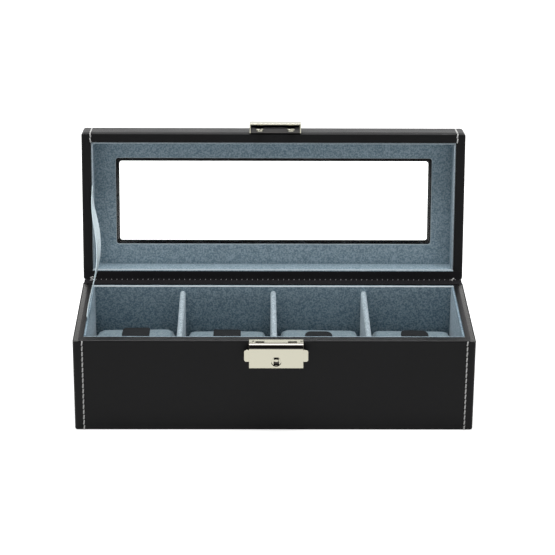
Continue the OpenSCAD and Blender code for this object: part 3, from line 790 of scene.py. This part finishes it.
def shade_hollows(piece, finish):
    """Gives a second finish, painted shade, to the faces that look into the piece's own
    hollow.
    """
    shape = bmesh.new()
    shape.from_mesh(piece.data)
    bmesh.ops.convex_hull(shape, input=shape.verts)
    planes = [(face.calc_center_median(), face.normal.copy()) for face in shape.faces
              if face.calc_area() > 1e-8]
    points = [corner.co.copy() for corner in shape.verts]
    outer = [(place, normal) for place, normal in planes
             if all((point - place).dot(normal) < 1e-5 for point in points)]
    shape.free()
    piece.data.materials.append(finish)
    for face in piece.data.polygons:
        ahead = face.center + face.normal * 0.00015
        if all((ahead - place).dot(normal) < -0.00002 for place, normal in outer):
            face.material_index = 1


def even_normals(piece):
    """Keeps the flat faces of a pressed piece flat in their shading."""
    bpy.context.view_layer.objects.active = piece
    flat = piece.modifiers.new("flat", "WEIGHTED_NORMAL")
    flat.keep_sharp = True
    flat.weight = 100
    bpy.ops.object.modifier_apply(modifier="flat")


nickel = plated("nickel", (0.66, 0.64, 0.52), 0.07)
# Dark steel for the screws, spring and rivets, also used as painted shade in the hollows.
dull_steel_and_hollow_shade = plated("dull_steel_and_hollow_shade", (0.12, 0.11, 0.1), 0.5)
# A dark plate used only as painted shade in the catch.
hollow_shade_plate = plated("hollow_shade_plate", (0.095, 0.092, 0.09), 0.3)
shaded_nickel = plated("shaded_nickel", (0.13, 0.12, 0.11), 0.1)
bore_shadow_finish = plated("bore_shadow", (0.02, 0.019, 0.018), 0.6)

# The case's top stands a little over the rim. Its rolled edge mirrors the dark room, and a
# darker nickel on it adds a painted reflection of that room.
lock_case = take_over("lock_case", "lock_case_pressed", "base", "nickel", nickel, 0.0002, 2)
shade_hollows(lock_case, dull_steel_and_hollow_shade)
lock_low, lock_high = (Vector(corner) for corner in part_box("lock_case"))
top_rise = 0.0003
roll_foot = lock_high.z - 0.0041
face_top = lock_high.z - 0.0045
for corner in lock_case.data.vertices:
    if corner.co.z > roll_foot:
        corner.co.z += top_rise
even_normals(lock_case)
# The rolled faces take the darker nickel, a painted reflection of the dark room.
lock_case.data.materials.append(shaded_nickel)
for face in lock_case.data.polygons:
    rolled = (0.05 < face.normal.z < 0.98 and face.normal.y < -0.1
              and abs(face.normal.x) < 0.3)
    if rolled and face.center.z > face_top:
        face.material_index = len(lock_case.data.materials) - 1
rivets = []
for x in (-0.01545, 0.01945):
    bpy.ops.object.select_all(action="DESELECT")
    bpy.ops.mesh.primitive_uv_sphere_add(segments=20, ring_count=10, radius=0.0011,
                                         location=(x, -0.0592, lock_high.z + top_rise))
    rivet = bpy.context.object
    rivet.scale = (1, 0.8, 0.25)
    bpy.ops.object.transform_apply(location=True, rotation=True, scale=True)
    bpy.ops.object.shade_smooth()
    rivets.append(rivet)
finish_piece(join(rivets, "lock_rivets"), dull_steel_and_hollow_shade, "base", "nickel")
take_over("latch_slider", "latch_slider_pressed", "latch_slider", "nickel", nickel, 0.00025, 2)

# The slot in the plug is widened round a flattened pin. A near-black ring in the gap round
# the plug paints the bore's shadow, which shows as a dark crescent at its lower edge.
key_plug = take_over("key_plug", "key_plug_turned", "key_plug", "nickel", nickel, 0.0005, 3)
shade_hollows(key_plug, dull_steel_and_hollow_shade)
plug_low, plug_high = (Vector(corner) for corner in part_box("key_plug"))
plug_middle = (plug_low + plug_high) / 2
slot_half_width = 0.0016
slot_half_height = 0.003
for corner in key_plug.data.vertices:
    across = corner.co.x - plug_middle.x
    up = corner.co.z - plug_middle.z
    if abs(across) < slot_half_width and abs(up) < slot_half_height:
        corner.co.x += across * (0.25 if up > 0 else 0.5)
        corner.co.z += max(0, up) * 0.12
bpy.ops.object.select_all(action="DESELECT")
bpy.ops.mesh.primitive_cylinder_add(vertices=32, radius=0.0011, depth=0.0006,
                                    location=(plug_middle.x, plug_low.y + 0.0004,
                                              plug_middle.z + 0.0008),
                                    rotation=(math.radians(90), 0, 0))
key_pin = bpy.context.object
key_pin.name = "key_pin"
key_pin.scale = (1.7, 0.8, 1)
bpy.ops.object.transform_apply(location=True, rotation=True, scale=True)
bpy.ops.object.shade_smooth_by_angle(angle=math.radians(30))
finish_piece(key_pin, nickel, "key_plug", "nickel")
bpy.ops.object.select_all(action="DESELECT")
# A near-black ring in the gap round the plug: a painted shadow.
bpy.ops.mesh.primitive_torus_add(major_radius=0.0035, minor_radius=0.00035,
                                 major_segments=64, minor_segments=12,
                                 location=(plug_middle.x, lock_low.y + 0.0004, plug_middle.z),
                                 rotation=(math.radians(83), 0, 0))
bore_shadow_ring = bpy.context.object
bore_shadow_ring.name = "plug_bore_shadow"
bpy.ops.object.transform_apply(location=True, rotation=True, scale=True)
bpy.ops.object.shade_smooth()
finish_piece(bore_shadow_ring, bore_shadow_finish, "base", "nickel")

# Under the lid's rim the hook plate gets the same dark plate as the inside of its cap, as
# painted shade.
catch_case = take_over("catch_case", "catch_case_pressed", "lid", "nickel", nickel, 0.0002, 2)
shade_hollows(catch_case, hollow_shade_plate)
even_normals(catch_case)
hooks = take_over("catch_hooks", "catch_hooks_cut", "lid", "nickel", nickel, 0.00015, 2)
hooks.data.materials.append(hollow_shade_plate)
for face in hooks.data.polygons:
    if shut(face.center).z > -0.0002:
        face.material_index = 1
for node in ("lock_backplate", "lock_screws", "slider_spring", "catch_screws"):
    dress(node, dull_steel_and_hollow_shade)


# ---- Window pane --------------------------------------------------------------
# Clear glass lies in a rebate of the lid's top board, held by the velour frame.
glass, tree, shade = new_material("clear_glass")
shade.inputs["Base Color"].default_value = (0.97, 0.985, 0.98, 1)
shade.inputs["Transmission Weight"].default_value = 1
shade.inputs["IOR"].default_value = 1.45
place = tree.nodes.new("ShaderNodeTexCoord")
streaks = tree.nodes.new("ShaderNodeTexNoise")
streaks.inputs["Scale"].default_value = 30
gloss = spread(tree, 0.0, 0.02)
tree.links.new(place.outputs["Object"], streaks.inputs["Vector"])
tree.links.new(streaks.outputs["Fac"], gloss.inputs["Value"])
tree.links.new(gloss.outputs["Result"], shade.inputs["Roughness"])
take_over("window_pane", "window_glass", "lid", "glass", glass, 0.0003, 2)


# ---- Hinge leather ------------------------------------------------------------
# One strip of leather lies on both back rims and bends between them. A row of small
# stitches runs along the fold.
def strip(name, columns, rows, point, thickness):
    """A thin sheet through the points that a function gives for its two shares."""
    bpy.ops.object.select_all(action="DESELECT")
    bpy.ops.mesh.primitive_grid_add(x_subdivisions=columns, y_subdivisions=rows, size=1)
    made = bpy.context.object
    made.name = name
    for corner in made.data.vertices:
        corner.co = point(corner.co.x + 0.5, corner.co.y + 0.5)
    thicken(made, thickness, 0)
    bpy.ops.object.shade_smooth_by_angle(angle=math.radians(40))
    return made


# The strip's profile, from the inner edge of the base's back rim to that of the lid.
strip_lift = 0.00022
rim_top = rim_z + strip_lift
profile = [(0.0499, rim_top), (0.0520, rim_top), (0.0540, rim_top), (0.0555, rim_top),
           (0.0563, rim_top + 0.00003), (0.0568, rim_top + 0.00012),
           (0.0572, rim_top + 0.0004), (0.05742, rim_top + 0.0009)]
for back in (0.0548, 0.0538, 0.0524, 0.0512, 0.0501):
    on_lid = swung((0, back, -strip_lift))
    profile.append((on_lid.y, on_lid.z))
strip_length = 0.2896


def hinge_point(along, across):
    """A place on the hinge strip, by its share of the length and of the profile."""
    step = min(int(across * (len(profile) - 1)), len(profile) - 2)
    part = across * (len(profile) - 1) - step
    y = profile[step][0] * (1 - part) + profile[step + 1][0] * part
    z = profile[step][1] * (1 - part) + profile[step + 1][1] * part
    return Vector(((along - 0.5) * strip_length, y, z))


hinge_strip = strip("hinge_strip", 24, 3 * (len(profile) - 1), hinge_point, 0.0004)
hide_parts("hinge_leather")
soft_leather = leather("soft_black_leather", (0.0105, 0.01, 0.0115), 0.0006, 0.00012,
                       0.55, 0.7, 0.12)
hinge_strip.data.materials.append(soft_leather)
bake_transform(hinge_strip)

fold_thread = thread("fold_thread", (0.45, 0.44, 0.45))
fold_pitch = 0.004
fold_stitches = []
for number in range(-36, 37):
    place = Vector((number * fold_pitch, 0.0573, rim_top + 0.0006))
    fold_stitches.append((place, Vector((0.35, 0.3, 1)), Vector((0, -1, 0.6))))
fold_row = sew("fold_stitches", fold_stitches, 0.0012, 0.00032, fold_thread)
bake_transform(fold_row)

# The seam's thread ends in a knot of three stitches on the left and two on the right.
knot_stitches = [
    (Vector((-0.1391, 0.0570, 0.0742)), Vector((1, 0, 0.5)), Vector((0, -1, 0.2))),
    (Vector((-0.1389, 0.0568, 0.0731)), Vector((0.8, 0, -1)), Vector((0, -1, 0.2))),
    (Vector((-0.1392, 0.0566, 0.0722)), Vector((1, 0, 0.3)), Vector((0, -1, 0.2))),
    (Vector((0.1380, 0.0566, 0.0731)), Vector((1, 0, 0.8)), Vector((0, -1, 0.2))),
    (Vector((0.1380, 0.0566, 0.0718)), Vector((1, 0, -0.8)), Vector((0, -1, 0.2))),
]
knots = sew("hinge_end_knots", knot_stitches, 0.0028, 0.00045, white_thread)
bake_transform(knots)


# ---- Ribbon stay --------------------------------------------------------------
# A satin ribbon runs from the left side of the base to the left side of the lid and
# stops it. It bows into the box a little, and turns first one way and then the other.
ribbon_foot = Vector((-0.1375, -0.0185, 0.0712))
ribbon_head = Vector((-0.1375, 0.0687, 0.1420))
ribbon_width = 0.010
ribbon_bow = 0.0062
ribbon_turn = math.radians(24)
ribbon_curl = math.radians(8)


def ribbon_point(along, across):
    """A place on the ribbon, by its share of the length and of the width."""
    middle = ribbon_foot.lerp(ribbon_head, along)
    middle.x += ribbon_bow * math.sin(math.pi * along) ** 2
    turn = (ribbon_turn * math.sin(math.pi * along ** 2) ** 2
            - ribbon_curl * max(0, math.sin(2 * math.pi * along)))
    side = Vector((-math.sin(turn), -0.63 * math.cos(turn), 0.77 * math.cos(turn)))
    return middle + side * ribbon_width * (across - 0.5)


satin = thread("white_satin", (0.80, 0.95, 1.0))
shade = satin.node_tree.nodes["Principled BSDF"]
shade.inputs["Roughness"].default_value = 0.45
shade.inputs["Metallic"].default_value = 0.15
shade.inputs["Sheen Weight"].default_value = 1
shade.inputs["Sheen Tint"].default_value = (0.85, 0.95, 1.0, 1)
ribbon = strip("satin_ribbon", 90, 6, ribbon_point, 0.00035)
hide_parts("lid_stay")
ribbon.data.materials.append(satin)
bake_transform(ribbon)
